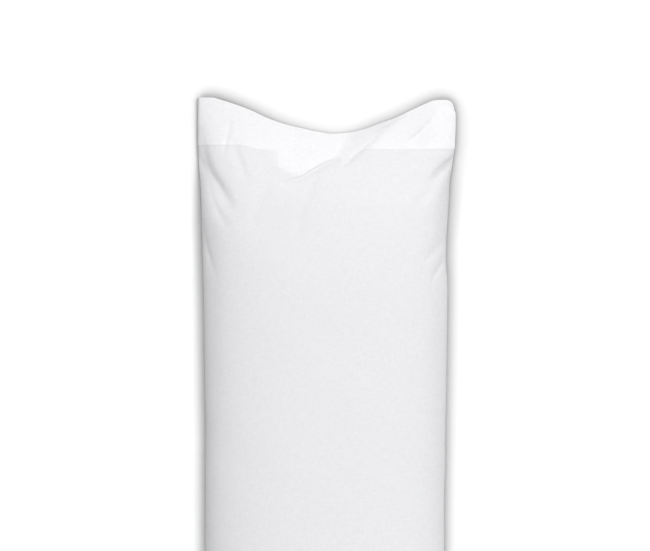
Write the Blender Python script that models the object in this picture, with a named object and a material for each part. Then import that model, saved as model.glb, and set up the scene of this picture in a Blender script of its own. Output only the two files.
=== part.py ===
"""A long cotton pillowcase in its filled shape, lying on its back with its mouth towards +Y.

Metres, +Z up, X across, Y along the length. The origin lies on the surface that the case rests
on, under the middle of its box. The case is one sheet of cloth: folded along its left side, sewn
down its right side and across the end at -Y, and hemmed round the mouth.
"""

import math
from collections import namedtuple

import bmesh
import bpy
import numpy as np

HALF_LENGTH = 0.6835  # from the middle to the mouth's corners, and to the closed end's
HALF_MOUTH = 0.253  # from the middle to the mouth's corners, across
CLOTH = 0.002
HEM_CLOTH = 0.003
HEM_STEP = 0.0007  # by which the hem stands above the single cloth

# The case's sections, from the mouth's corners to the closed end. reach is the distance from the
# mouth's corners, side the height of the side edge above the floor, crown how far the upper side
# arches above that edge, under how far in from it the cloth meets the floor, and flatness the power
# of the arch's outline: 2 is an ellipse, and a higher one stays flat until close to the sides.
# Cloth doesn't stretch: where the case is full, each section is 1.04 m round, twice the 0.52 m that
# the case measures across when it is empty and pressed flat.
Section = namedtuple("Section", "reach left right side crown under flatness")
SECTIONS = (
    Section(0.000, -0.2530, 0.2505, 0.009, 0.014, 0.009, 7.0),
    Section(0.045, -0.2530, 0.2530, 0.010, 0.018, 0.011, 6.5),
    Section(0.090, -0.2528, 0.2515, 0.013, 0.031, 0.018, 4.6),
    Section(0.130, -0.2520, 0.2465, 0.020, 0.050, 0.030, 3.4),
    Section(0.165, -0.2505, 0.2410, 0.028, 0.065, 0.045, 2.8),
    Section(0.220, -0.2485, 0.2380, 0.037, 0.077, 0.058, 2.5),
    Section(0.320, -0.2460, 0.2335, 0.044, 0.085, 0.066, 2.4),
    Section(0.380, -0.2440, 0.2360, 0.046, 0.088, 0.068, 2.3),
    Section(0.480, -0.2410, 0.2350, 0.047, 0.091, 0.070, 2.3),
    Section(0.700, -0.2385, 0.2310, 0.048, 0.095, 0.070, 2.3),
    Section(0.950, -0.2375, 0.2290, 0.048, 0.096, 0.070, 2.3),
    Section(1.150, -0.2390, 0.2320, 0.046, 0.093, 0.068, 2.4),
    Section(1.270, -0.2425, 0.2365, 0.041, 0.085, 0.060, 2.5),
    Section(1.330, -0.2450, 0.2400, 0.036, 0.076, 0.052, 2.7),
    Section(1.367, -0.2440, 0.2395, 0.032, 0.070, 0.045, 2.9),
)
END_ROUND = 0.130  # the length over which the upper side comes down to the end seam
END_UNDER = 0.070  # and over which the lower side rises to it
END_DIP = 0.024  # by which its fullness draws in the middle of the end seam

# The mouth's edge, and the lower edge of its hem on the upper side: distance from the line of the
# mouth's corners, at places across. The tuck in the middle pulls the hem down to a point.
Point = namedtuple("Point", "x reach")
MOUTH_EDGE = (
    Point(-0.253, 0.000),
    Point(-0.225, 0.000),
    Point(-0.194, 0.008),
    Point(-0.147, 0.025),
    Point(-0.100, 0.047),
    Point(-0.053, 0.060),
    Point(0.012, 0.072),
    Point(0.042, 0.069),
    Point(0.073, 0.062),
    Point(0.120, 0.046),
    Point(0.168, 0.025),
    Point(0.211, 0.006),
    Point(0.238, 0.005),
    Point(0.253, 0.017),
)
HEM_EDGE = (
    Point(-0.253, 0.094),
    Point(-0.170, 0.094),
    Point(-0.131, 0.103),
    Point(-0.112, 0.116),
    Point(-0.100, 0.140),
    Point(-0.074, 0.155),
    Point(-0.058, 0.158),
    Point(-0.033, 0.147),
    Point(-0.007, 0.133),
    Point(0.020, 0.122),
    Point(0.062, 0.106),
    Point(0.083, 0.102),
    Point(0.253, 0.102),
)
MOUTH_SETBACK = 0.004  # of the lower side's mouth edge behind the upper one
SETBACK_SHARE = 0.3  # the share of half the width over which that setback grows from each side

# Folds of the upper side: where each starts and ends, how wide it is, and how far it rises above
# the arch, or sinks below it where lift is negative.
Fold = namedtuple("Fold", "start end width lift")
FOLDS = {
    "tuck along the hem's point": Fold(Point(-0.100, 0.182), Point(0.052, 0.106), 0.012, -0.0045),
    "belly above that tuck": Fold(Point(-0.124, 0.150), Point(0.044, 0.086), 0.018, 0.0040),
    "long tuck across the hem": Fold(Point(0.010, 0.153), Point(0.180, 0.016), 0.014, -0.0065),
    "left groove at the hem": Fold(Point(-0.258, 0.060), Point(-0.192, 0.236), 0.013, -0.0080),
    "left ridge beside it": Fold(Point(-0.232, 0.070), Point(-0.166, 0.236), 0.014, 0.0035),
    "left groove below it": Fold(Point(-0.252, 0.100), Point(-0.194, 0.280), 0.013, -0.0055),
    "left long crease": Fold(Point(-0.254, 0.190), Point(-0.220, 0.375), 0.012, -0.0045),
    "right groove at the hem": Fold(Point(0.268, 0.082), Point(0.176, 0.208), 0.016, -0.0065),
    "right ridge": Fold(Point(0.260, 0.114), Point(0.190, 0.214), 0.014, 0.0035),
    "right groove below it": Fold(Point(0.254, 0.140), Point(0.210, 0.306), 0.016, -0.0045),
    "right lower crease": Fold(Point(0.248, 0.288), Point(0.188, 0.354), 0.013, -0.0040),
    "middle crease": Fold(Point(-0.014, 0.146), Point(-0.064, 0.262), 0.015, -0.0030),
    "middle left crease": Fold(Point(-0.098, 0.142), Point(-0.152, 0.262), 0.015, -0.0030),
}
FOLD_FADE = 0.3  # the share of its length over which a fold rises from nothing, at each end

SIDE_COLUMNS = 6  # close together on the rounding of each side
MIDDLE_COLUMNS = 34
SIDE_BAND = 0.24  # the share of half the width that the side columns take
HEM_ROWS = 8
FOLDED_ROWS = 22  # below the hem, where the folds are
PLAIN_ROWS = 6
END_ROWS = 9
FOLDED_SHARE = 0.22  # of the length below the hem
END_SHARE = 0.12


def through(rows, across, up):
    """A smooth curve through one column of a table against another. It never swings past them."""
    x = np.array([getattr(row, across) for row in rows])
    y = np.array([getattr(row, up) for row in rows])
    step, slope = np.diff(x), np.diff(y) / np.diff(x)
    lean = np.zeros_like(y)
    lean[0], lean[-1] = slope[0], slope[-1]
    for i in range(1, len(y) - 1):
        if slope[i - 1] * slope[i] > 0:
            before, after = 2 * step[i] + step[i - 1], step[i] + 2 * step[i - 1]
            lean[i] = (before + after) / (before / slope[i - 1] + after / slope[i])

    def height(where):
        i = int(np.clip(np.searchsorted(x, where) - 1, 0, len(step) - 1))
        t = min(max((where - x[i]) / step[i], 0.0), 1.0)
        between = y[i] * (1 + 2 * t) * (1 - t) ** 2 + y[i + 1] * t * t * (3 - 2 * t)
        return between + step[i] * (lean[i] * t * (1 - t) ** 2 - lean[i + 1] * t * t * (1 - t))

    return height


left_of = through(SECTIONS, "reach", "left")
right_of = through(SECTIONS, "reach", "right")
side_of = through(SECTIONS, "reach", "side")
crown_of = through(SECTIONS, "reach", "crown")
under_of = through(SECTIONS, "reach", "under")
flatness_of = through(SECTIONS, "reach", "flatness")
mouth_edge = through(MOUTH_EDGE, "x", "reach")
hem_edge = through(HEM_EDGE, "x", "reach")


def rounding(depth, radius):
    """A quarter circle: from 0, where it stands upright, to 1 at the radius and beyond."""
    return math.sqrt(1 - (1 - min(max(depth / radius, 0.0), 1.0)) ** 2)


def ease(t):
    t = min(max(t, 0.0), 1.0)
    return t * t * (3 - 2 * t)


def end_seam(across):
    """The end seam's distance from the mouth's corners."""
    return 2 * HALF_LENGTH - END_DIP * (1 - across**2)


def place(across, reach, upper):
    """The smooth outer surface at -1 to 1 across, at a distance from the mouth's corners."""
    left, right = left_of(reach), right_of(reach)
    half = (right - left) / 2
    to_end = end_seam(across) - reach
    if upper:
        arch = math.sqrt(max(1 - abs(across) ** flatness_of(reach), 0.0))
        height = crown_of(reach) * arch * rounding(to_end, END_ROUND)
    else:
        inward = rounding(half * (1 - abs(across)), under_of(reach))
        height = -side_of(reach) * inward * rounding(to_end, END_UNDER)
    return (left + right) / 2 + half * across, HALF_LENGTH - reach, side_of(reach) + height


def fold_lift(x, reach):
    """How far all the folds together lift a place on the upper side."""
    lift = 0.0
    for fold in FOLDS.values():
        run = np.subtract(fold.end, fold.start)
        away = np.subtract((x, reach), fold.start)
        along = float(away @ run) / float(run @ run)
        off = float(away[0] * run[1] - away[1] * run[0]) / math.hypot(*run)
        fade = ease(along / FOLD_FADE) * ease((1 - along) / FOLD_FADE)
        lift += fold.lift * fade * math.exp(-((off / fold.width) ** 2))
    return lift


def columns():
    """Places across, from -1 to 1: close together at the sides, where the cloth turns under."""
    side = SIDE_BAND * (1 - np.cos(np.linspace(0, math.pi / 2, SIDE_COLUMNS + 1)))[:-1]
    middle = np.linspace(-1 + SIDE_BAND, 1 - SIDE_BAND, MIDDLE_COLUMNS + 1)
    return [*(side - 1), *middle, *(1 - side[::-1])]


def row_shares():
    """Shares of the length below the hem: rows lie close together at the folds and the end."""
    folded = np.linspace(0, 1, FOLDED_ROWS + 1) ** 1.3 * FOLDED_SHARE
    plain = np.linspace(FOLDED_SHARE, 1 - END_SHARE, PLAIN_ROWS + 1)
    end = 1 - END_SHARE * (1 - np.sin(np.linspace(0, math.pi / 2, END_ROWS + 1)))
    return [*folded[1:], *plain[1:], *end[1:]]


def reaches(across, upper):
    """The rows' distances from the mouth's corners, in one column."""
    mouth, hem = mouth_edge(HALF_MOUTH * across), hem_edge(HALF_MOUTH * across)
    if not upper:
        mouth += MOUTH_SETBACK * rounding(1 - abs(across), SETBACK_SHARE)
        left, right = hem_edge(-HALF_MOUTH), hem_edge(HALF_MOUTH)
        hem = left + (right - left) * (across + 1) / 2
    hem_rows = list(np.linspace(mouth, hem, HEM_ROWS + 1))
    return hem_rows + [hem + (end_seam(across) - hem) * share for share in row_shares()]


def lay_upper(shape, across):
    """The upper side's points by column and row."""
    points = {}
    for column, share in enumerate(across):
        for row, reach in enumerate(reaches(share, upper=True)):
            points[column, row] = shape.verts.new(place(share, reach, upper=True))
    return points


def lay_lower(shape, across, upper, last_row):
    """The lower side has every second column. It shares its sides and its end with the upper."""
    points = {}
    for column in range(0, len(across), 2):
        for row, reach in enumerate(reaches(across[column], upper=False)):
            if column in (0, len(across) - 1) or row == last_row:
                points[column, row] = upper[column, row]
            else:
                points[column, row] = shape.verts.new(place(across[column], reach, upper=False))
    return points


def join_faces(shape, upper, lower, last_column, last_row):
    for row in range(last_row):
        for c in range(last_column):
            corners = upper[c, row], upper[c, row + 1], upper[c + 1, row + 1], upper[c + 1, row]
            shape.faces.new(corners)
        for c in range(0, last_column, 2):
            ring = [lower[c, row], lower[c + 2, row], lower[c + 2, row + 1], lower[c, row + 1]]
            if row == last_row - 1:
                ring.insert(3, upper[c + 1, last_row])
            shape.faces.new(ring)


def press_folds(shape, upper, last_column, last_row):
    """The folds and the hem's step move the upper side along its own normals."""
    shape.normal_update()
    moves = []
    for (column, row), point in upper.items():
        if 0 < column < last_column and row < last_row:
            lift = fold_lift(point.co.x, HALF_LENGTH - point.co.y)
            moves.append((point, point.normal * (lift + (HEM_STEP if row <= HEM_ROWS else 0.0))))
    for point, move in moves:
        point.co += move


def cloth_surface():
    """The outer surface of the case, open at the mouth, with its hem as vertex group 0."""
    shape = bmesh.new()
    hem = shape.verts.layers.deform.verify()
    across = columns()
    last_column, last_row = len(across) - 1, HEM_ROWS + len(row_shares())
    upper = lay_upper(shape, across)
    lower = lay_lower(shape, across, upper, last_row)
    join_faces(shape, upper, lower, last_column, last_row)
    press_folds(shape, upper, last_column, last_row)
    for sheet in (upper, lower):
        for (_, row), point in sheet.items():
            point[hem][0] = 1.0 if row <= HEM_ROWS else 0.0
    mesh = bpy.data.meshes.new("case")
    shape.to_mesh(mesh)
    shape.free()
    mesh.shade_smooth()
    return mesh


def white_cotton():
    material = bpy.data.materials.new("white cotton")
    material.use_nodes = True
    shader = material.node_tree.nodes["Principled BSDF"]
    shader.inputs["Base Color"].default_value = (0.90, 0.90, 0.93, 1)
    shader.inputs["Roughness"].default_value = 0.9
    shader.inputs["Metallic"].default_value = 0.0
    return material


def make_case():
    """The cloth gets its thickness inwards, half as much again at the hem, where it is turned."""
    case = bpy.data.objects.new("case", cloth_surface())
    bpy.context.scene.collection.objects.link(case)
    case.vertex_groups.new(name="hem")
    cloth = case.modifiers.new("cloth", "SOLIDIFY")
    cloth.thickness = HEM_CLOTH
    cloth.offset = -1
    cloth.vertex_group = "hem"
    cloth.thickness_vertex_group = CLOTH / HEM_CLOTH
    case.data.materials.append(white_cotton())


for old in list(bpy.data.objects):
    bpy.data.objects.remove(old, do_unlink=True)
make_case()
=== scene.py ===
import math
from collections import namedtuple

import bmesh
import bpy
import numpy as np
from mathutils import Matrix, Quaternion, Vector


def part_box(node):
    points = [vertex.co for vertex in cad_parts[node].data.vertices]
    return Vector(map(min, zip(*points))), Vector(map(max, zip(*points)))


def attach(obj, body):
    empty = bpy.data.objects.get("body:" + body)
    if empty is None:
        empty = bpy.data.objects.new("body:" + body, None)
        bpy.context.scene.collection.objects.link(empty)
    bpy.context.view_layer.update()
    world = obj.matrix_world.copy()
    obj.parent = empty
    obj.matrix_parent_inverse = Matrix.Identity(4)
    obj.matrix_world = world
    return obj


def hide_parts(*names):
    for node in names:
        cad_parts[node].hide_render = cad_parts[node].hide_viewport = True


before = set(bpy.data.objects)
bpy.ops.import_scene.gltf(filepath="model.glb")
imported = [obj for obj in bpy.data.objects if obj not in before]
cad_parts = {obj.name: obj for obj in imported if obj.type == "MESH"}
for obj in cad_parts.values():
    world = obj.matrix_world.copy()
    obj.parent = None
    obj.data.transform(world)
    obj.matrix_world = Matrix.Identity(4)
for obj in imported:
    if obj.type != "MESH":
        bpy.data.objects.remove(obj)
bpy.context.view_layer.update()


# ------------------------------------------------------------------------------- the case
# The case is one length of white cotton percale, folded in two along its left side, sewn down its
# right side and across its closed end, and turned in at its open end as a deep stitched hem. The
# flat cut cloth is laid round the shape that the case has when it is full, and creased.
CUT_WIDTH = 1.040  # right round the case
CUT_LENGTH = 1.372  # from the mouth's edge to the end seam
HALF_CUT = CUT_WIDTH / 2  # the fold is the middle of the cut cloth, and the seam is its two sides
HEM_DEPTH = 0.100
CLOTH, HEM_CLOTH = 0.0011, 0.0026  # thickness: the hem is turned, so it is double
HEM_STEP = 0.0005  # how far the hem stands out from the cloth below it
STEP_FROM, STEP_TO = HEM_DEPTH + 0.0004, HEM_DEPTH - 0.0008  # where that step rises
STITCHED_AT = HEM_DEPTH - 0.0030  # the stitches lie above the hem's lower edge
STITCH_SINK, STITCH_SINK_WIDTH = 0.0003, 0.0012  # and draw the cloth in
SQUARE = 0.010  # of the mesh, where the cloth is plain

case_low, case_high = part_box("case")
HALF_LENGTH = (case_high.y - case_low.y) / 2
HALF_MOUTH = (case_high.x - case_low.x) / 2

# The case's sections: reach is the distance from the mouth's corners, side the height of the side
# edge, crown the upper side's arch above that edge, under how far in the cloth meets the floor,
# and flatness the power of the arch's outline.
Section = namedtuple("Section", "reach left right side crown under flatness")
SECTIONS = (
    Section(0.000, -0.2538, 0.2505, 0.009, 0.009, 0.009, 7.0),
    Section(0.045, -0.2540, 0.2530, 0.010, 0.0185, 0.011, 6.5),
    Section(0.090, -0.2538, 0.2515, 0.013, 0.030, 0.018, 4.6),
    Section(0.130, -0.2528, 0.2465, 0.020, 0.050, 0.030, 3.4),
    Section(0.165, -0.2496, 0.2410, 0.028, 0.065, 0.045, 2.8),
    Section(0.220, -0.2458, 0.2380, 0.037, 0.077, 0.058, 2.5),
    Section(0.320, -0.2440, 0.2335, 0.044, 0.085, 0.066, 2.4),
    Section(0.380, -0.2422, 0.2360, 0.046, 0.088, 0.068, 2.3),
    Section(0.480, -0.2395, 0.2350, 0.047, 0.091, 0.070, 2.3),
    Section(0.700, -0.2370, 0.2310, 0.048, 0.095, 0.070, 2.3),
    Section(0.950, -0.2375, 0.2290, 0.048, 0.096, 0.070, 2.3),
    Section(1.150, -0.2390, 0.2320, 0.046, 0.093, 0.068, 2.4),
    Section(1.270, -0.2425, 0.2365, 0.041, 0.085, 0.060, 2.5),
    Section(1.330, -0.2450, 0.2400, 0.036, 0.076, 0.052, 2.7),
    Section(1.367, -0.2440, 0.2395, 0.032, 0.070, 0.045, 2.9),
)
FOLDED_FLAT, FILLED_ROUND = 0.72, 0.5  # the power of the arch at its edge: at the hem, and beyond
FILLING_FROM, FILLING_FULL = 0.10, 0.22  # the reach at which one turns into the other
END_ROUND, END_UNDER = 0.130, 0.070  # how far from the end seam each side, upper and lower, rounds
END_DIP = 0.024  # how far the end seam's corners stand beyond its middle

# The mouth's edge, and the hem's lower edge on the upper side, across the case. The tuck in the
# middle pulls the hem down to a point.
Point = namedtuple("Point", "x reach")
MOUTH_EDGE = (
    Point(-0.253, 0.000),
    Point(-0.225, 0.000),
    Point(-0.210, 0.004),
    Point(-0.178, 0.014),
    Point(-0.147, 0.026),
    Point(-0.115, 0.041),
    Point(-0.084, 0.052),
    Point(-0.053, 0.060),
    Point(-0.021, 0.067),
    Point(0.012, 0.072),
    Point(0.042, 0.070),
    Point(0.073, 0.063),
    Point(0.105, 0.051),
    Point(0.136, 0.040),
    Point(0.168, 0.025),
    Point(0.199, 0.011),
    Point(0.211, 0.006),
    Point(0.237, 0.0045),
    Point(0.244, 0.0062),
    Point(0.249, 0.0105),
    Point(0.2515, 0.0180),
    Point(0.253, 0.029),
)
HEM_EDGE = (
    Point(-0.253, 0.094),
    Point(-0.170, 0.094),
    Point(-0.151, 0.098),
    Point(-0.131, 0.103),
    Point(-0.115, 0.107),
    Point(-0.111, 0.120),
    Point(-0.107, 0.134),
    Point(-0.099, 0.142),
    Point(-0.087, 0.149),
    Point(-0.074, 0.156),
    Point(-0.060, 0.160),
    Point(-0.045, 0.156),
    Point(-0.033, 0.147),
    Point(-0.019, 0.139),
    Point(-0.007, 0.133),
    Point(0.006, 0.127),
    Point(0.020, 0.122),
    Point(0.040, 0.114),
    Point(0.062, 0.105),
    Point(0.083, 0.102),
    Point(0.253, 0.102),
)
MOUTH_SETBACK = 0.004  # how far the lower side's edge lies behind the upper side's
SETBACK_SHARE = 0.3  # of the half width, in which that fades out towards the corners


def through(places, values):
    """A smooth curve through values at places. It never swings past them."""
    x, y = np.array(places, float), np.array(values, float)
    step, slope = np.diff(x), np.diff(y) / np.diff(x)
    lean = np.concatenate([slope[:1], np.zeros(len(x) - 2), slope[-1:]])
    for i in range(1, len(x) - 1):
        if slope[i - 1] * slope[i] > 0:
            before, after = 2 * step[i] + step[i - 1], step[i] + 2 * step[i - 1]
            lean[i] = (before + after) / (before / slope[i - 1] + after / slope[i])

    def value(where):
        i = np.clip(np.searchsorted(x, where) - 1, 0, len(step) - 1)
        t = np.clip((where - x[i]) / step[i], 0, 1)
        between = y[i] * (1 + 2 * t) * (1 - t) ** 2 + y[i + 1] * t * t * (3 - 2 * t)
        return between + step[i] * (lean[i] * t * (1 - t) ** 2 - lean[i + 1] * t * t * (1 - t))

    return value


def section_curve(name):
    return through([row.reach for row in SECTIONS], [getattr(row, name) for row in SECTIONS])


left_of, right_of, side_of = (section_curve(name) for name in ("left", "right", "side"))
crown_of, under_of, flatness_of = (section_curve(name) for name in ("crown", "under", "flatness"))
mouth_edge, hem_edge = (through(*zip(*edge)) for edge in (MOUTH_EDGE, HEM_EDGE))


def rounding(depth, radius):
    """A quarter circle: from 0, where it stands upright, to 1 at the radius and beyond."""
    return np.sqrt(1 - (1 - np.clip(depth / radius, 0, 1)) ** 2)


def ease(t):
    """A soft step from 0 to 1."""
    t = np.clip(t, 0, 1)
    return t * t * (3 - 2 * t)


def rise(value, start, full):
    """A soft step in a value, from 0 at start to 1 at full, on whichever side of start that is."""
    return ease((value - start) / (full - start))


def end_seam(across):
    """The reach of the closed end's seam."""
    return 2 * HALF_LENGTH - END_DIP * (1 - across**2)


def place(across, reach, upper):
    """The smooth surface at -1 to 1 across, at a distance from the mouth's corners."""
    left, right, side = left_of(reach), right_of(reach), side_of(reach)
    half = (right - left) / 2
    to_end = end_seam(across) - reach
    filled = rise(reach, FILLING_FROM, FILLING_FULL)
    edge = FOLDED_FLAT + (FILLED_ROUND - FOLDED_FLAT) * filled
    arch = np.clip(1 - np.abs(across) ** flatness_of(reach), 0, 1) ** edge
    above = crown_of(reach) * arch * rounding(to_end, END_ROUND)
    inward = rounding(half * (1 - np.abs(across)), under_of(reach))
    below = -side * inward * rounding(to_end, END_UNDER)
    height = side + np.where(upper, above, below)
    return np.stack([(left + right) / 2 + half * across, HALF_LENGTH - reach, height], -1)


def cumulative(points):
    """The distance along a line of points, from 0 to 1."""
    run = np.cumsum(np.linalg.norm(np.diff(points, axis=0), axis=1))
    return np.concatenate([[0], run]) / run[-1]


FINE = np.linspace(0, 1, 401)  # shares of a width or a length, for the tables
spine = hem_edge(0) + (end_seam(0) - hem_edge(0)) * FINE
spine_run = cumulative(place(np.zeros(len(FINE)), spine, True))


def reach_of(across, down, upper):
    """Where the thread that lies down metres from the cloth's open edge crosses the case."""
    mouth, hem = mouth_edge(HALF_MOUTH * across), hem_edge(HALF_MOUTH * across)
    back = MOUTH_SETBACK * rounding(1 - np.abs(across), SETBACK_SHARE)
    mouth = np.where(upper, mouth, mouth + back)
    straight = np.interp(across, (-1, 1), hem_edge(np.array([-HALF_MOUTH, HALF_MOUTH])))
    hem = np.where(upper, hem, straight)
    share = np.interp((down - HEM_DEPTH) / (CUT_LENGTH - HEM_DEPTH), spine_run, FINE)
    in_hem = mouth + (hem - mouth) * down / HEM_DEPTH
    return np.where(down < HEM_DEPTH, in_hem, hem + (end_seam(across) - hem) * share)


MEASURED_ROWS, MEASURED_PLACES = 120, 241


def measure_round(upper):
    """For each row of the cloth, where on the section each share of its width comes to lie."""
    turn = np.linspace(-math.pi / 2, math.pi / 2, MEASURED_PLACES)
    across = np.sin(turn)  # closest together at the sides, where the section turns
    rows = []
    for down in np.linspace(0, CUT_LENGTH, MEASURED_ROWS):
        reach = reach_of(across, np.full(len(across), down), upper)
        rows.append(np.interp(FINE, cumulative(place(across, reach, upper)), across))
    return np.array(rows)


def across_of(share, down, table):
    """The place across of a share of the side's width, read between the measured rows."""
    row, column = down / CUT_LENGTH * (MEASURED_ROWS - 1), share * (len(FINE) - 1)
    r = np.clip(row.astype(int), 0, MEASURED_ROWS - 2)
    c = np.clip(column.astype(int), 0, len(FINE) - 2)
    row, column = row - r, column - c
    near = table[r, c] * (1 - column) + table[r, c + 1] * column
    far = table[r + 1, c] * (1 - column) + table[r + 1, c + 1] * column
    return near * (1 - row) + far * row


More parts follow.
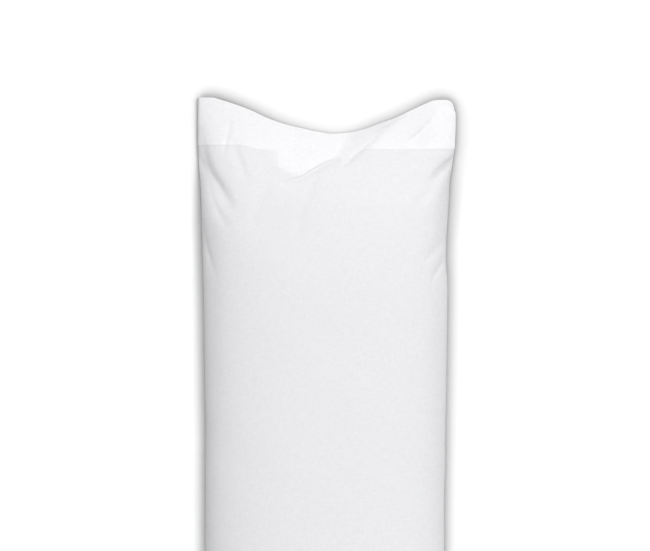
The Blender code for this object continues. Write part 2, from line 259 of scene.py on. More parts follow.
# Creases of the upper side. Each is pressed in, or raised where lift is positive, along a route
# that is followed from its first bend to its last, with its own strength at each bend. left and
# right are its widths on either hand, and a sharp of 1 makes a knife edge and 2 a soft wave.
Bend = namedtuple("Bend", "x reach strength")
Crease = namedtuple("Crease", "lift left right sharp route")
CREASES = {
    "tuck under the hem's point": Crease(-0.0058, 0.0036, 0.0085, 1.5, (
        Bend(-0.092, 0.174, 0.0),
        Bend(-0.084, 0.171, 0.4),
        Bend(-0.072, 0.167, 0.6),
        Bend(-0.058, 0.162, 0.9),
        Bend(-0.045, 0.157, 1.0),
        Bend(-0.033, 0.149, 1.0),
        Bend(-0.019, 0.141, 1.0),
        Bend(-0.007, 0.134, 1.0),
        Bend(0.006, 0.128, 1.0),
        Bend(0.020, 0.123, 0.6),
        Bend(0.030, 0.119, 0.0),
    )),
    "belly above that tuck": Crease(0.0035, 0.018, 0.012, 2.0, (
        Bend(-0.108, 0.130, 0.0),
        Bend(-0.075, 0.138, 1.0),
        Bend(-0.035, 0.126, 1.0),
        Bend(0.005, 0.108, 0.6),
        Bend(0.032, 0.096, 0.0),
    )),
    "long tuck across the hem": Crease(-0.0046, 0.0050, 0.0050, 1.5, (
        Bend(0.030, 0.138, 0.0),
        Bend(0.036, 0.132, 0.8),
        Bend(0.043, 0.126, 1.0),
        Bend(0.051, 0.118, 1.0),
        Bend(0.061, 0.110, 0.9),
        Bend(0.069, 0.104, 0.7),
        Bend(0.081, 0.092, 1.0),
        Bend(0.089, 0.085, 1.0),
        Bend(0.097, 0.077, 1.0),
        Bend(0.107, 0.069, 0.9),
        Bend(0.118, 0.062, 0.8),
        Bend(0.130, 0.054, 0.7),
        Bend(0.144, 0.045, 0.4),
        Bend(0.160, 0.037, 0.0),
    )),
    "hollow above the long tuck": Crease(-0.0045, 0.022, 0.012, 1.8, (
        Bend(0.030, 0.128, 0.0),
        Bend(0.046, 0.114, 0.8),
        Bend(0.062, 0.100, 1.0),
        Bend(0.082, 0.084, 1.0),
        Bend(0.104, 0.066, 0.8),
        Bend(0.136, 0.045, 0.0),
    )),
    "fine crease left of it": Crease(-0.0016, 0.004, 0.004, 1.3, (
        Bend(0.020, 0.114, 0.0),
        Bend(0.028, 0.105, 1.0),
        Bend(0.036, 0.094, 0.8),
        Bend(0.042, 0.085, 0.6),
        Bend(0.046, 0.076, 0.0),
    )),
    "ridge between the tucks": Crease(0.0012, 0.005, 0.005, 1.6, (
        Bend(0.020, 0.121, 0.0),
        Bend(0.036, 0.113, 1.0),
        Bend(0.050, 0.103, 1.0),
        Bend(0.061, 0.096, 0.8),
        Bend(0.074, 0.089, 0.0),
    )),
    "left groove": Crease(-0.0082, 0.009, 0.028, 1.8, (
        Bend(-0.250, 0.052, 0.0),
        Bend(-0.248, 0.072, 0.3),
        Bend(-0.245, 0.094, 0.5),
        Bend(-0.240, 0.114, 0.9),
        Bend(-0.235, 0.134, 1.0),
        Bend(-0.226, 0.153, 1.0),
        Bend(-0.214, 0.170, 1.0),
        Bend(-0.203, 0.187, 0.9),
        Bend(-0.193, 0.205, 0.6),
        Bend(-0.182, 0.228, 0.0),
    )),
    "short hollow beside it": Crease(-0.0036, 0.008, 0.012, 1.8, (
        Bend(-0.253, 0.108, 0.0),
        Bend(-0.250, 0.119, 0.8),
        Bend(-0.246, 0.130, 1.0),
        Bend(-0.241, 0.144, 0.5),
        Bend(-0.236, 0.158, 0.0),
    )),
    "left side hollow": Crease(-0.0022, 0.009, 0.012, 1.9, (
        Bend(-0.254, 0.130, 0.0),
        Bend(-0.249, 0.152, 0.7),
        Bend(-0.245, 0.178, 1.0),
        Bend(-0.242, 0.205, 1.0),
        Bend(-0.240, 0.235, 0.5),
        Bend(-0.238, 0.270, 0.0),
    )),
    "second left groove": Crease(-0.0021, 0.006, 0.012, 1.7, (
        Bend(-0.235, 0.148, 0.0),
        Bend(-0.231, 0.168, 0.5),
        Bend(-0.226, 0.193, 0.8),
        Bend(-0.219, 0.212, 0.9),
        Bend(-0.209, 0.230, 1.0),
        Bend(-0.199, 0.247, 0.7),
        Bend(-0.188, 0.268, 0.0),
    )),
    "long left crease": Crease(-0.0030, 0.005, 0.010, 1.6, (
        Bend(-0.247, 0.225, 0.0),
        Bend(-0.243, 0.258, 0.9),
        Bend(-0.238, 0.282, 1.0),
        Bend(-0.232, 0.306, 1.0),
        Bend(-0.225, 0.330, 0.7),
        Bend(-0.217, 0.356, 0.0),
    )),
    "long hollow down the left": Crease(-0.0042, 0.022, 0.014, 1.9, (
        Bend(-0.236, 0.240, 0.0),
        Bend(-0.233, 0.300, 1.0),
        Bend(-0.230, 0.450, 0.8),
        Bend(-0.226, 0.700, 0.0),
    )),
    "crease down the left of the hem": Crease(-0.0026, 0.004, 0.006, 1.5, (
        Bend(-0.189, 0.036, 0.0),
        Bend(-0.191, 0.056, 0.7),
        Bend(-0.195, 0.076, 0.9),
        Bend(-0.199, 0.096, 1.0),
        Bend(-0.202, 0.116, 0.0),
    )),
    "crease below the left of the hem": Crease(-0.0032, 0.007, 0.010, 1.7, (
        Bend(-0.184, 0.078, 0.0),
        Bend(-0.181, 0.096, 0.7),
        Bend(-0.176, 0.112, 1.0),
        Bend(-0.169, 0.130, 1.0),
        Bend(-0.161, 0.152, 0.6),
        Bend(-0.152, 0.176, 0.0),
    )),
    "right groove": Crease(-0.0064, 0.026, 0.0055, 1.5, (
        Bend(0.262, 0.104, 0.3),
        Bend(0.253, 0.115, 0.8),
        Bend(0.243, 0.124, 1.0),
        Bend(0.231, 0.134, 1.0),
        Bend(0.218, 0.146, 0.9),
        Bend(0.206, 0.160, 0.5),
        Bend(0.194, 0.178, 0.0),
    )),
    "second line of that groove": Crease(-0.0036, 0.014, 0.0042, 1.6, (
        Bend(0.246, 0.128, 0.0),
        Bend(0.237, 0.137, 0.8),
        Bend(0.226, 0.147, 1.0),
        Bend(0.215, 0.158, 0.9),
        Bend(0.205, 0.170, 0.0),
    )),
    "faint crease beyond it": Crease(-0.0022, 0.008, 0.006, 1.8, (
        Bend(0.216, 0.172, 0.0),
        Bend(0.206, 0.182, 0.8),
        Bend(0.190, 0.197, 1.0),
        Bend(0.178, 0.210, 0.7),
        Bend(0.168, 0.224, 0.0),
    )),
    "right ridge": Crease(0.0018, 0.008, 0.010, 1.8, (
        Bend(0.252, 0.140, 0.0),
        Bend(0.242, 0.152, 0.5),
        Bend(0.231, 0.166, 1.0),
        Bend(0.222, 0.180, 1.0),
        Bend(0.213, 0.200, 0.7),
        Bend(0.206, 0.230, 0.0),
    )),
    "right side hollow": Crease(-0.0118, 0.020, 0.016, 1.8, (
        Bend(0.254, 0.146, 0.0),
        Bend(0.249, 0.160, 0.7),
        Bend(0.244, 0.180, 1.0),
        Bend(0.240, 0.205, 1.0),
        Bend(0.238, 0.236, 0.9),
        Bend(0.236, 0.300, 0.0),
    )),
    "long hollow down the right": Crease(-0.0064, 0.016, 0.021, 1.9, (
        Bend(0.232, 0.235, 0.0),
        Bend(0.229, 0.300, 0.8),
        Bend(0.229, 0.420, 1.0),
        Bend(0.226, 0.700, 0.8),
        Bend(0.222, 0.950, 0.0),
    )),
    "upper of the low right creases": Crease(-0.0030, 0.007, 0.006, 1.7, (
        Bend(0.232, 0.276, 0.0),
        Bend(0.222, 0.289, 0.8),
        Bend(0.208, 0.305, 1.0),
        Bend(0.197, 0.319, 0.6),
        Bend(0.190, 0.330, 0.0),
    )),
    "low right crease": Crease(-0.0032, 0.010, 0.0048, 1.5, (
        Bend(0.234, 0.312, 0.0),
        Bend(0.224, 0.328, 0.9),
        Bend(0.214, 0.345, 1.0),
        Bend(0.206, 0.363, 0.6),
        Bend(0.199, 0.382, 0.0),
    )),
    "ridge right of it": Crease(0.0009, 0.004, 0.004, 1.6, (
        Bend(0.235, 0.328, 0.0),
        Bend(0.226, 0.342, 1.0),
        Bend(0.215, 0.358, 0.9),
        Bend(0.207, 0.374, 0.0),
    )),
    "crease across the right of the hem": Crease(-0.0044, 0.005, 0.006, 1.6, (
        Bend(0.228, 0.014, 0.0),
        Bend(0.207, 0.043, 0.5),
        Bend(0.195, 0.059, 0.8),
        Bend(0.183, 0.072, 1.0),
        Bend(0.171, 0.082, 1.0),
        Bend(0.156, 0.094, 0.0),
    )),
    "line across the hem's point": Crease(-0.0006, 0.0025, 0.0025, 1.6, (
        Bend(-0.092, 0.119, 0.0),
        Bend(-0.074, 0.121, 0.8),
        Bend(-0.054, 0.123, 1.0),
        Bend(-0.034, 0.124, 1.0),
        Bend(-0.016, 0.126, 0.0),
    )),
    "wave below the hem's point": Crease(-0.0028, 0.010, 0.012, 1.9, (
        Bend(-0.018, 0.142, 0.0),
        Bend(-0.026, 0.168, 0.8),
        Bend(-0.038, 0.196, 1.0),
        Bend(-0.052, 0.232, 0.9),
        Bend(-0.056, 0.290, 0.0),
    )),
    "wave left of it": Crease(-0.0018, 0.013, 0.014, 2.0, (
        Bend(-0.118, 0.150, 0.0),
        Bend(-0.122, 0.178, 0.8),
        Bend(-0.130, 0.206, 1.0),
        Bend(-0.140, 0.236, 0.7),
        Bend(-0.150, 0.275, 0.0),
    )),
}
ROUTE_STEPS = 8  # from one bend to the next
NARROW, NARROW_REACH = 0.0058, 0.0075  # creases narrower than this get finer squares, this far out
FAINT = 0.05  # the strength up to which they don't
CREASED_ROUND = 0.030  # how far round the case's edges the creases reach, onto the lower side


def along_route(crease, x, reach):
    """How far each place lies from a crease, on which hand, and how strong the crease is there."""
    bends = np.array(crease.route)
    numbers = np.arange(len(bends))
    steps = np.linspace(0, len(bends) - 1, ROUTE_STEPS * (len(bends) - 1) + 1)
    route = np.stack([through(numbers, bends[:, i])(steps) for i in range(3)], 1)
    start, run = route[:-1], np.diff(route, axis=0)
    away_x, away_reach = x[:, None] - start[:, 0], reach[:, None] - start[:, 1]
    length = run[:, 0] ** 2 + run[:, 1] ** 2
    along = np.clip((away_x * run[:, 0] + away_reach * run[:, 1]) / length, 0, 1)
    off = np.hypot(away_x - along * run[:, 0], away_reach - along * run[:, 1])
    nearest = np.argmin(off, axis=1)
    each = np.arange(len(x))
    off, along = off[each, nearest], along[each, nearest]
    turn = run[nearest, 1] * away_x[each, nearest] - run[nearest, 0] * away_reach[each, nearest]
    return off, turn > 0, start[nearest, 2] + along * run[nearest, 2]


def crease_height(crease, x, reach):
    """How far one crease moves each place on the upper side."""
    off, on_left, strength = along_route(crease, x, reach)
    width = np.where(on_left, crease.left, crease.right)
    return crease.lift * strength * np.exp(-((off / width) ** crease.sharp))


# Between the fine crease and the long tuck the cloth is not doubled: the turned part is pulled
# away from under it, and the patch loses the hem's white, which is partly painted shade for the
# hollow above the long tuck. The bounds run from the hem's lower edge up to the mouth.
Bound = namedtuple("Bound", "reach left right")
PULLED_PATCH = (
    Bound(0.030, 0.0500, 0.1750),
    Bound(0.036, 0.0500, 0.1616),
    Bound(0.045, 0.0500, 0.1439),
    Bound(0.054, 0.0500, 0.1310),
    Bound(0.062, 0.0510, 0.1184),
    Bound(0.077, 0.0490, 0.0968),
    Bound(0.092, 0.0410, 0.0811),
    Bound(0.104, 0.0335, 0.0693),
    Bound(0.118, 0.0240, 0.0516),
    Bound(0.126, 0.0265, 0.0437),
    Bound(0.134, 0.0335, 0.0339),
)
PATCH_SOFT_LEFT, PATCH_SOFT_RIGHT = 0.022, 0.0020
PATCH_FADE = (0.100, 0.160)  # across, towards the mouth's edge


def in_patch(x, reach):
    """1 in the patch where the cloth is single, and 0 outside it."""
    bounds = np.array(PULLED_PATCH)
    left, right = (np.interp(reach, bounds[:, 0], bounds[:, i]) for i in (1, 2))
    past_left = ease((x - left) / PATCH_SOFT_LEFT + 0.5)
    before_right = ease((right - x) / PATCH_SOFT_RIGHT + 0.5)
    return past_left * before_right * (1 - rise(x, *PATCH_FADE))


# Puckers stand along the seams, where the thread draws the cloth up: highest at the corners, and
# faint along the side.
PUCKER_GAP, PUCKER_LENGTH = (0.009, 0.024), (0.018, 0.055)
PUCKER_WIDTH = 0.4  # as a share of the gap before it
PUCKER_LEAN = 0.35
PUCKER_TOP = 0.25  # the share of a pucker's length at which it stands highest
SIDE_PUCKER, END_PUCKER = 0.0004, 0.0009  # heights along the side seam and along the end seam
CORNER_PUCKER, CORNER_REACH = 0.0012, 0.09  # the height added at a corner, and how far it reaches


def pucker_height(along, inward, length, height, random):
    """Puckers along one seam, from distances along it and inwards from it."""
    total = np.zeros(len(along))
    at = 0.0
    while at < length:
        gap = random.uniform(*PUCKER_GAP)
        at += gap
        deep, lean = random.uniform(*PUCKER_LENGTH), random.uniform(-PUCKER_LEAN, PUCKER_LEAN)
        lift = random.uniform(-1, 1)
        corner = math.exp(-((min(at, length - at) / CORNER_REACH) ** 2))
        off = (along - at - lean * inward) / (PUCKER_WIDTH * gap)
        t = inward / deep / PUCKER_TOP
        total += lift * (height + CORNER_PUCKER * corner) * t * np.exp(1 - t) * np.exp(-(off**2))
    return total


# The side and end seams, sewn inside, stand out as a narrow ridge with a shallow groove beside it.
SEAM_RIDGE, SEAM_RIDGE_WIDTH = 0.0010, 0.0017
SEAM_GROOVE, SEAM_GROOVE_WIDTH, SEAM_GROOVE_IN = -0.0004, 0.0014, 0.0042
SEAM_LINES = (0.0012, 0.0026, 0.0042, 0.0062)  # rows of the mesh beside each seam
WAVES, WAVE_LENGTHS, WAVE_HEIGHT = 16, (0.07, 0.30), 0.00010


def unevenness(x, y, random):
    """Long soft waves in no order."""
    total = np.zeros(len(x))
    for _ in range(WAVES):
        turn, start = random.uniform(0, math.pi), random.uniform(0, 2 * math.pi)
        length = random.uniform(*WAVE_LENGTHS)
        total += np.sin((x * math.cos(turn) + y * math.sin(turn)) * 2 * math.pi / length + start)
    return total * WAVE_HEIGHT


UPPER_ROUND, LOWER_ROUND = measure_round(True), measure_round(False)


def lay_out(flat):
    """Where places of the flat cut cloth come to lie on the case's smooth shape."""
    upper = flat[:, 0] >= 0
    share = np.clip(np.abs(flat[:, 0]) / HALF_CUT, 0, 1)
    down = np.clip(flat[:, 1], 0, CUT_LENGTH)
    over, under = across_of(share, down, UPPER_ROUND), across_of(share, down, LOWER_ROUND)
    across = np.where(upper, over, under)
    return place(across, reach_of(across, down, upper), upper)


def halve_squares(wanted):
    """Makes the flat cloth's squares half as large where they are wanted."""
    bpy.ops.mesh.select_mode(type="FACE")
    bpy.ops.mesh.select_all(action="DESELECT")
    cloth = bmesh.from_edit_mesh(bpy.context.object.data)
    middles = np.array([face.calc_center_median() for face in cloth.faces])
    for face, chosen in zip(cloth.faces, wanted(middles)):
        face.select_set(bool(chosen))
    bmesh.update_edit_mesh(bpy.context.object.data)
    bpy.ops.mesh.subdivide(number_cuts=1, ngon=False)


def at_narrow_crease(at):
    """Whether places of the flat cloth lie at a narrow crease of the upper side."""
    at_seam = np.abs(at[:, 0]) > HALF_CUT - SQUARE  # where both sides must match
    laid = lay_out(np.where(at_seam[:, None], np.abs(at), at))
    near = np.zeros(len(at), bool)
    for crease in CREASES.values():
        if min(crease.left, crease.right) < NARROW:
            off, _, strength = along_route(crease, laid[:, 0], HALF_LENGTH - laid[:, 1])
            near |= (off < NARROW_REACH) & (strength > FAINT)
    return near & ((at[:, 0] > 0) | at_seam)


def cut_line(point, direction):
    """Puts a row of the mesh along a line of the flat cloth."""
    bpy.ops.mesh.select_all(action="SELECT")
    bpy.ops.mesh.bisect(plane_co=point, plane_no=direction, threshold=0.0001)


# Boxes of the flat cloth whose squares are halved, in this order, and again where boxes overlap:
# across from the fold, with the upper side as positive, and down from the open edge.
HALVED = (
    ((0, HALF_CUT), (0, 0.32)),  # the creased end of the upper side
    ((-HALF_CUT, 0), (0, 0.12)),  # the hem of the lower side
    ((-0.06, 0.06), (0.12, CUT_LENGTH)),  # the fold
    ((HALF_CUT - 0.06, HALF_CUT), (0.32, CUT_LENGTH)),  # the side seam
    ((-HALF_CUT, -HALF_CUT + 0.05), (0.12, CUT_LENGTH)),
    ((0.06, HALF_CUT - 0.06), (CUT_LENGTH - 0.14, CUT_LENGTH)),  # the closed end
    ((-HALF_CUT + 0.05, -0.06), (CUT_LENGTH - 0.05, CUT_LENGTH)),
    ((0.13, 0.44), (0.05, 0.14)),  # the tucks across the hem
    ((-HALF_CUT, -HALF_CUT + 0.015), (0, 0.02)),  # the corner of the mouth at the seam
    ((HALF_CUT - 0.015, HALF_CUT), (0, 0.02)),
)

bpy.ops.object.select_all(action="DESELECT")
bpy.ops.mesh.primitive_grid_add(
    x_subdivisions=round(CUT_WIDTH / SQUARE),
    y_subdivisions=round(CUT_LENGTH / SQUARE),
    size=1,
)
case = bpy.context.object
case.name = case.data.name = "pillowcase"
bpy.ops.object.mode_set(mode="EDIT")
bpy.ops.transform.resize(value=(CUT_WIDTH, CUT_LENGTH, 1))
bpy.ops.transform.translate(value=(0, CUT_LENGTH / 2, 0))
for across, down in HALVED:
    low, high = zip(across, down)
    halve_squares(lambda at: ((at[:, :2] > low) & (at[:, :2] < high)).all(axis=1))
halve_squares(at_narrow_crease)
for down in (STITCHED_AT, STEP_TO, STEP_FROM):
    cut_line((0, down, 0), (0, 1, 0))
for inward in SEAM_LINES:
    cut_line((0, CUT_LENGTH - inward, 0), (0, 1, 0))
    for side in (-1, 1):
        cut_line((side * (HALF_CUT - inward), 0, 0), (1, 0, 0))
bpy.ops.object.mode_set(mode="OBJECT")


def read(collection, name):
    """One vector for each part of a mesh, as rows."""
    values = np.empty(len(collection) * 3, np.float32)
    collection.foreach_get(name, values)
    return values.reshape(-1, 3).astype(float)


def write(collection, name, values):
    collection.foreach_set(name, np.asarray(values, np.float32).ravel())


# Each point keeps its place on the flat cloth, in metres, as its UV and as an attribute.
flat = read(case.data.vertices, "co")
corners = np.empty(len(case.data.loops), int)
case.data.loops.foreach_get("vertex_index", corners)
cut_map = case.data.uv_layers[0]
cut_map.name = "cut"
write(cut_map.data, "uv", flat[corners, :2])
case.data.attributes.new("flat", "FLOAT_VECTOR", "POINT")
write(case.data.attributes["flat"].data, "vector", flat)

# The flat cloth is laid round the case's shape, and sewn.
write(case.data.vertices, "co", lay_out(flat))
bpy.ops.object.mode_set(mode="EDIT")
bpy.ops.mesh.select_all(action="SELECT")
bpy.ops.mesh.remove_doubles(threshold=0.0002)
bpy.ops.mesh.normals_make_consistent(inside=False)
bpy.ops.object.mode_set(mode="OBJECT")

# Creases move the cloth up or down, and reach a little way round onto the lower side.
flat = read(case.data.attributes["flat"].data, "vector")
laid, outward = read(case.data.vertices, "co"), read(case.data.vertex_normals, "vector")
x, reach, down = laid[:, 0], HALF_LENGTH - laid[:, 1], flat[:, 1]
upper = flat[:, 0] >= 0
from_side, from_end = HALF_CUT - np.abs(flat[:, 0]), CUT_LENGTH - down
sewn = from_side < 1e-4  # the line that the upper and the lower side share
creased = sum(crease_height(crease, x, reach) for crease in CREASES.values())
round_edge = 1 - ease(np.minimum(np.abs(flat[:, 0]), from_side) / CREASED_ROUND)
creased *= np.where(upper | sewn, 1, round_edge)

# The hem is single in its patch, left of its point, and along the left side of that point, where
# it thins out softly instead of ending in a step.
POINT_FROM = (0.102, 0.110)  # the reach below which the hem is only its point
POINT_SOFT, POINT_SOFT_DEPTH = (-0.052, -0.082), 0.010  # across, and up from the point's edge
POINT_END = (-0.094, -0.116)  # across
single = np.where(upper, in_patch(x, reach), 0)
in_point = rise(reach, *POINT_FROM) * upper
soft_side = rise(x, *POINT_SOFT) * rise(down, HEM_DEPTH - POINT_SOFT_DEPTH, HEM_DEPTH)
for thinned in (soft_side, rise(x, *POINT_END)):
    single = np.maximum(single, in_point * thinned)

# Where the hem is whiter than elsewhere: over its point, and at the seam's side.
WHITE_POINT_LEFT, WHITE_POINT_RIGHT = (-0.135, -0.105), (0.110, 0.080)
WHITE_AT_SEAM = (0.190, 0.235)
at_point = rise(x, *WHITE_POINT_LEFT) * rise(x, *WHITE_POINT_RIGHT) * upper
at_seam = rise(x, *WHITE_AT_SEAM) * upper
for name, values in (("single", single), ("point", at_point), ("seam", at_seam)):
    case.data.attributes.new(name, "FLOAT", "POINT")
    write(case.data.attributes[name].data, "value", values)

# The hem's step and its stitching, puckers, seams and unevenness move the cloth along its normals.
CLEAR, CREASE_CLEAR = 0.02, 0.01  # below these heights the floor holds the cloth and creases back
stitch_groove = np.exp(-(((down - STITCHED_AT) / STITCH_SINK_WIDTH) ** 2))
move = (HEM_STEP * rise(down, STEP_FROM, STEP_TO) - STITCH_SINK * stitch_groove) * (1 - single)
random = np.random.default_rng(11)
for above in (True, False):
    chosen = upper == above
    for along, inward, length, height in (
        (down, from_side, CUT_LENGTH, SIDE_PUCKER),
        (np.abs(flat[:, 0]), from_end, HALF_CUT, END_PUCKER),
    ):
        move[chosen] += pucker_height(along[chosen], inward[chosen], length, height, random)
for inward in (from_side, from_end):
    move += SEAM_RIDGE * np.exp(-((inward / SEAM_RIDGE_WIDTH) ** 2))
    move += SEAM_GROOVE * np.exp(-(((inward - SEAM_GROOVE_IN) / SEAM_GROOVE_WIDTH) ** 2))
move += unevenness(laid[:, 0], laid[:, 1], random)
move *= np.where(upper | sewn, 1, ease(laid[:, 2] / CLEAR))
laid += outward * move[:, None]
laid[:, 2] += creased * ease(laid[:, 2] / CREASE_CLEAR)
laid[:, 2] = np.maximum(laid[:, 2], 0)
write(case.data.vertices, "co", laid)

# The stitched line, kept for the stitches, and the outward way at each of its points.
bpy.context.view_layer.update()
stitched = np.flatnonzero(np.abs(down - STITCHED_AT) < 1e-5)
stitched = stitched[np.argsort(flat[stitched, 0])]
stitch_line = laid[stitched]
stitch_up = read(case.data.vertex_normals, "vector")[stitched]

# The cloth gets its thickness inwards, twice as much at the hem, and its open edge is rounded. The
# hem is thinner in the narrow corner at the seam, so that its two sides don't meet inside.
CORNER_THIN, CORNER_THIN_REACH = 0.35, 0.02
EDGE_ROUND = 0.0006
hem_group = case.vertex_groups.new(name="hem")
past_corner = ease(np.hypot(from_side, down) / CORNER_THIN_REACH)
hem_share = CORNER_THIN + (1 - CORNER_THIN) * past_corner
for i in np.flatnonzero(down < HEM_DEPTH):
    hem_group.add([int(i)], float(hem_share[i]), "REPLACE")
thickness = case.modifiers.new("cloth", "SOLIDIFY")
thickness.thickness = HEM_CLOTH
thickness.offset = -1
thickness.vertex_group = "hem"
thickness.thickness_vertex_group = CLOTH / HEM_CLOTH
bpy.ops.object.modifier_apply(modifier="cloth")
bpy.ops.object.mode_set(mode="EDIT")
cloth = bmesh.from_edit_mesh(case.data)
flat_place = cloth.verts.layers.float_vector["flat"]
bpy.ops.mesh.select_mode(type="FACE")
bpy.ops.mesh.select_all(action="DESELECT")
for face in cloth.faces:
    face.select_set(all(corner[flat_place].y < 1e-5 for corner in face.verts))
bmesh.update_edit_mesh(case.data)
bpy.ops.mesh.region_to_loop()
bpy.ops.mesh.bevel(offset=EDGE_ROUND, segments=3)
bpy.ops.object.mode_set(mode="OBJECT")
bpy.ops.object.shade_smooth()

WHITE_COTTON = (0.747, 0.747, 0.760, 1)
DOUBLE_COTTON = (0.783, 0.783, 0.795, 1)  # the hem lets less through, so it looks whiter
TRIPLE_COTTON = (0.803, 0.803, 0.815, 1)
SEAMED_COTTON = (0.826, 0.826, 0.838, 1)  # over the turnings of the seam, in the hem's corner
TUCKED_UNDER = 0.0055  # how far the hem's raw edge is tucked under it
HEM_LINE_SOFT, TUCKED_LINE_SOFT = 0.0006, 0.0010
# Painted shade: nothing lies behind the cloth next to the hem, and the unlit inside is painted
# into its colour as a darker tone there; most at the fold, where it also stands in for the shade
# on the case's left side.
UNFILLED = (0.14, 0.27)  # down from the open edge: empty up to the one, filled from the other
UNFILLED_SHADE, SHADE_AT_FOLD, FOLD_REACH = 0.965, 0.940, 0.13
# The pattern of the weave: slubs are long and thin, and a mottle is even.
SLUBS, SLUB_STRETCH, SLUB_SHARE = 60, 7, 0.35
MOTTLES, MOTTLE_DETAIL, MOTTLE_SHARE = 150, 4.0, 0.30
PATTERN, PATTERN_TONE = (0.3, 0.7), (0.945, 1.055)
THREAD_GAP, THREAD_SHARE = 0.0005, 0.10
WEAVE_RELIEF, WEAVE_DEPTH = 0.35, 0.0006


def white_cotton():
    """Percale: a fine plain weave with slubs, whiter where the hem makes it double."""
    material = bpy.data.materials.new("white cotton percale")
    material.use_nodes = True
    nodes, links = material.node_tree.nodes, material.node_tree.links
    shader = nodes["Principled BSDF"]
    shader.inputs["Roughness"].default_value = 0.92
    shader.inputs["Specular IOR Level"].default_value = 0.25
    shader.inputs["Sheen Weight"].default_value = 0.12
    shader.inputs["Sheen Roughness"].default_value = 0.6

    def node(kind, **settings):
        made = nodes.new(kind)
        for name, value in settings.items():
            setattr(made, name, value)
        return made

    def range_node(value, **ends):
        """Carries a value from one range over to another, with a soft start and end."""
        made = node("ShaderNodeMapRange", interpolation_type="SMOOTHSTEP")
        for name, end in ends.items():
            socket = made.inputs[name.replace("_", " ").title()]
            if isinstance(end, (int, float)):
                socket.default_value = end
            else:
                links.new(end, socket)
        links.new(value, made.inputs["Value"])
        return made.outputs[0]

    def math_node(operation, *values):
        made = node("ShaderNodeMath", operation=operation)
        for socket, value in zip(made.inputs, values):
            if isinstance(value, (int, float)):
                socket.default_value = value
            else:
                links.new(value, socket)
        return made.outputs[0]

    cut = node("ShaderNodeUVMap", uv_map="cut").outputs["UV"]
    apart = node("ShaderNodeSeparateXYZ")
    links.new(cut, apart.inputs[0])
    from_fold, down = apart.outputs["X"], apart.outputs["Y"]

    def noise(scale, stretch, detail=2.0):
        spread = node("ShaderNodeMapping")
        spread.inputs["Scale"].default_value = stretch
        links.new(cut, spread.inputs["Vector"])
        made = node("ShaderNodeTexNoise")
        made.inputs["Scale"].default_value = scale
        made.inputs["Detail"].default_value = detail
        links.new(spread.outputs[0], made.inputs["Vector"])
        return made.outputs["Fac"]

    def step_down(at, soft):
        """1 on the side of the mouth and 0 below a line that runs round the case."""
        return range_node(down, from_min=at + soft, from_max=at - soft)

    def blend(amount, first, second):
        made = node("ShaderNodeMix", data_type="RGBA")
        for socket, value in (("A", first), ("B", second)):
            if isinstance(value, tuple):
                made.inputs[socket].default_value = value
            else:
                links.new(value, made.inputs[socket])
        links.new(amount, made.inputs["Factor"])
        return made.outputs["Result"]

    # Where the hem is turned the cloth is double, but for the patch in the tuck, and in the narrow
    # band where its raw edge is tucked under it is triple.
    double = step_down(HEM_DEPTH, HEM_LINE_SOFT)
    above_band = step_down(HEM_DEPTH - TUCKED_UNDER, TUCKED_LINE_SOFT)
    # The patch takes the single cloth's colour, partly painted shade for the hollow above the long
    # tuck.
    single = node("ShaderNodeAttribute", attribute_name="single").outputs["Fac"]
    whole = math_node("SUBTRACT", 1.0, single)
    at_point = node("ShaderNodeAttribute", attribute_name="point").outputs["Fac"]
    hem_white = blend(math_node("MAXIMUM", above_band, at_point), TRIPLE_COTTON, DOUBLE_COTTON)
    at_seam = node("ShaderNodeAttribute", attribute_name="seam").outputs["Fac"]
    hem_white = blend(at_seam, hem_white, SEAMED_COTTON)
    hem = math_node("MULTIPLY", double, whole)
    white = blend(hem, WHITE_COTTON, hem_white)
    # Painted shade below the hem, deepest towards the fold.
    painted_shade_across = range_node(from_fold, from_max=FOLD_REACH, to_min=SHADE_AT_FOLD, to_max=UNFILLED_SHADE)
    filled = range_node(down, from_min=UNFILLED[0], from_max=UNFILLED[1], to_min=painted_shade_across)
    painted_shade_below_hem = math_node("MAXIMUM", filled, hem)

    # Slubs run along the warp and the weft, and a fine mottle lies over the whole cloth.
    warp = math_node("MULTIPLY", noise(SLUBS, (SLUB_STRETCH, 1, 1)), SLUB_SHARE)
    weft = math_node("MULTIPLY", noise(SLUBS, (1, SLUB_STRETCH, 1)), SLUB_SHARE)
    mottle = math_node("MULTIPLY", noise(MOTTLES, (1, 1, 1), MOTTLE_DETAIL), MOTTLE_SHARE)
    pattern = math_node("ADD", math_node("ADD", warp, weft), mottle)
    shade = node("ShaderNodeMapRange")
    shade.inputs["From Min"].default_value, shade.inputs["From Max"].default_value = PATTERN
    shade.inputs["To Min"].default_value, shade.inputs["To Max"].default_value = PATTERN_TONE
    links.new(pattern, shade.inputs["Value"])
    tinted = node("ShaderNodeVectorMath", operation="SCALE")
    links.new(white, tinted.inputs[0])
    links.new(math_node("MULTIPLY", shade.outputs[0], painted_shade_below_hem), tinted.inputs["Scale"])
    links.new(tinted.outputs[0], shader.inputs["Base Color"])

    # The weave itself: threads that pass over and under each other.
    turns = 2 * math.pi / THREAD_GAP
    over, under = (math_node("SINE", math_node("MULTIPLY", at, turns)) for at in (from_fold, down))
    weave = math_node("MULTIPLY", math_node("MULTIPLY", over, under), THREAD_SHARE)
    bump = node("ShaderNodeBump")
    bump.inputs["Strength"].default_value = WEAVE_RELIEF
    bump.inputs["Distance"].default_value = WEAVE_DEPTH
    links.new(math_node("ADD", weave, pattern), bump.inputs["Height"])
    links.new(bump.outputs[0], shader.inputs["Normal"])
    return material


cotton = white_cotton()
case.data.materials.append(cotton)
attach(case, "root")
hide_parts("case")


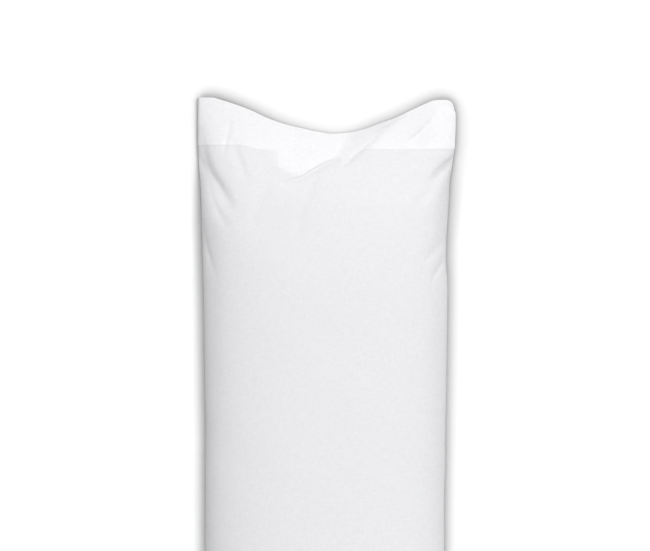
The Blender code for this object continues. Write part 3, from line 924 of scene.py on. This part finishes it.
# ----------------------------------------------------------------------------- the hem's stitches
# One row of white cotton thread runs all round the case, just above the hem's lower edge, and
# holds the turned hem: a machine's lock stitches, each pulled a little into the cloth.
STITCH_PITCH = 0.0030
STITCH_LENGTH = 0.0025
THREAD = 0.00045  # across
THREAD_OUT = 0.00008  # how far a stitch's middle line stands off the cloth
STITCH_TURN = 6  # degrees that the stitches lean off the line, as lock stitches do
STITCH_UNEVEN = 0.0002  # along the line
LOOK_AHEAD = 0.001  # along the line, for the way that a stitch points

bpy.ops.object.select_all(action="DESELECT")
bpy.ops.mesh.primitive_uv_sphere_add(segments=6, ring_count=5, radius=0.5)
stitches = bpy.context.object
stitches.name = stitches.data.name = "hem_stitches"
bpy.ops.object.mode_set(mode="EDIT")
bpy.ops.transform.resize(value=(THREAD, THREAD, STITCH_LENGTH))
bpy.ops.object.mode_set(mode="OBJECT")
one_stitch = stitches.data.copy()
line_run = np.concatenate([[0], np.cumsum(np.linalg.norm(np.diff(stitch_line, axis=0), axis=1))])
places = np.arange(STITCH_PITCH, line_run[-1] - STITCH_PITCH / 2, STITCH_PITCH)
sewing = bmesh.new()
for run in places:
    run += random.uniform(-STITCH_UNEVEN, STITCH_UNEVEN)
    middle, ahead, outward = (
        Vector([np.interp(at, line_run, values[:, i]) for i in range(3)])
        for at, values in ((run, stitch_line), (run + LOOK_AHEAD, stitch_line), (run, stitch_up))
    )
    way = (ahead - middle).normalized()
    outward = (outward - outward.dot(way) * way).normalized()
    way.rotate(Quaternion(outward, math.radians(STITCH_TURN)))
    turned = Matrix((outward.cross(way), outward, way)).transposed().to_4x4()
    turned.translation = middle + outward * THREAD_OUT
    one_stitch.transform(turned)
    sewing.from_mesh(one_stitch)
    one_stitch.transform(turned.inverted())
sewing.to_mesh(stitches.data)
sewing.free()
bpy.ops.object.shade_smooth()

thread = bpy.data.materials.new("white thread")
thread.use_nodes = True
thread_shader = thread.node_tree.nodes["Principled BSDF"]
thread_shader.inputs["Base Color"].default_value = TRIPLE_COTTON
thread_shader.inputs["Roughness"].default_value = 0.7
stitches.data.materials.append(thread)
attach(stitches, "root")


# ------------------------------------------------------------------ the floor, light and view
# A white floor with a painted shadow round the case, a white sky, and three broad lamps: overhead,
# at the right of the mouth, and low beyond it. The camera is straight above, far away, and frames
# the mouth and two thirds of the case.
PIXEL = 0.001965  # of the photograph, at the height of the case's edges
PHOTO = (650, 551)
PHOTO_MIDDLE_X = 326.75  # the pixel column that the case's middle line lies on
MOUTH_ROW = 97  # the pixel row of the mouth's corners
EDGE_HEIGHT = 0.04
CAMERA_HEIGHT = 10.0
SENSOR = 36  # mm
FLOOR_SIZE, FLOOR_HEIGHT = 60, -0.0003  # the lower side's stitches stand out this far

bpy.ops.mesh.primitive_plane_add(size=FLOOR_SIZE, location=(0, 0, FLOOR_HEIGHT))
floor = bpy.context.object
floor.name = "floor"
floor_paint = bpy.data.materials.new("white floor")
floor_paint.use_nodes = True
nodes, links = floor_paint.node_tree.nodes, floor_paint.node_tree.links
floor_shader = nodes["Principled BSDF"]
# A painted shadow darkens the floor's colour close to the case: widely beside its high sides, most
# where the lamps throw no shadow of it, and in a narrow band along its low hem.
Shade = namedtuple("Shade", "reach facing darkest lightness")
FLOOR_WHITE = 0.96
lightness = None
for shade in (
    Shade(0.050, (-0.38, -0.42, 0.82), 0.00, 0.15),
    Shade(0.036, (0.16, -0.47, 0.87), 0.62, 0.76),
):
    near_case = nodes.new("ShaderNodeAmbientOcclusion")
    near_case.inputs["Distance"].default_value = shade.reach
    near_case.samples = 16
    facing = nodes.new("ShaderNodeCombineXYZ")
    for socket, number in zip(facing.inputs, shade.facing):
        socket.default_value = number
    painted_shadow = nodes.new("ShaderNodeMapRange")
    painted_shadow.inputs["From Min"].default_value = shade.darkest
    painted_shadow.inputs["To Min"].default_value = shade.lightness
    both = nodes.new("ShaderNodeMath")
    both.operation = "MULTIPLY"
    both.inputs[1].default_value = FLOOR_WHITE
    links.new(facing.outputs[0], near_case.inputs["Normal"])
    links.new(near_case.outputs["AO"], painted_shadow.inputs["Value"])
    links.new(painted_shadow.outputs[0], both.inputs[0])
    if lightness:
        links.new(lightness, both.inputs[1])
    lightness = both.outputs[0]
links.new(lightness, floor_shader.inputs["Base Color"])
floor_shader.inputs["Roughness"].default_value = 1.0
floor_shader.inputs["Specular IOR Level"].default_value = 0.0
floor.data.materials.append(floor_paint)

# The sky gives little light of its own, but is seen white.
SKY_LIGHT, SKY_SEEN = 0.03, 1.0
world = bpy.data.worlds.new("sky")
bpy.context.scene.world = world
world.use_nodes = True
nodes, links = world.node_tree.nodes, world.node_tree.links
sky = nodes["Background"]
sky.inputs["Color"].default_value = (1, 1, 1, 1)
seen = nodes.new("ShaderNodeLightPath")
brightness = nodes.new("ShaderNodeMapRange")
brightness.inputs["To Min"].default_value = SKY_LIGHT
brightness.inputs["To Max"].default_value = SKY_SEEN
links.new(seen.outputs["Is Camera Ray"], brightness.inputs["Value"])
links.new(brightness.outputs[0], sky.inputs["Strength"])

# Turn and height are in degrees: the turn from beyond the mouth round to the right.
Lamp = namedtuple("Lamp", "name turn height strength")
LAMP_SPREAD = 22.6  # degrees, as a wide lamp in a white tent
LAMP_AWAY = 3
for rig in (
    Lamp("overhead lamp", 0, 90, 1.745),
    Lamp("lamp at the right of the mouth", 45, 60, 1.40),
    Lamp("low lamp beyond the mouth", 0, 30, 0.90),
):
    lamp_data = bpy.data.lights.new(rig.name, "SUN")
    lamp_data.angle = math.radians(LAMP_SPREAD)
    lamp_data.energy = rig.strength
    lamp = bpy.data.objects.new(rig.name, lamp_data)
    bpy.context.scene.collection.objects.link(lamp)
    turn, height = math.radians(rig.turn), math.radians(rig.height)
    level = math.cos(height)
    way = Vector((math.sin(turn) * level, math.cos(turn) * level, math.sin(height)))
    lamp.location = way * LAMP_AWAY
    lamp.rotation_mode = "QUATERNION"
    lamp.rotation_quaternion = way.to_track_quat("Z", "Y")

camera_data = bpy.data.cameras.new("camera")
camera_data.sensor_width = SENSOR
camera_data.lens = SENSOR * (CAMERA_HEIGHT - EDGE_HEIGHT) / (PHOTO[0] * PIXEL)
camera_data.clip_end = 100
camera = bpy.data.objects.new("camera", camera_data)
bpy.context.scene.collection.objects.link(camera)
camera.location = (
    (PHOTO[0] / 2 - PHOTO_MIDDLE_X) * PIXEL,
    HALF_LENGTH - (PHOTO[1] / 2 - MOUTH_ROW) * PIXEL,
    CAMERA_HEIGHT,
)
bpy.context.scene.camera = camera
bpy.context.scene.view_settings.view_transform = "Standard"
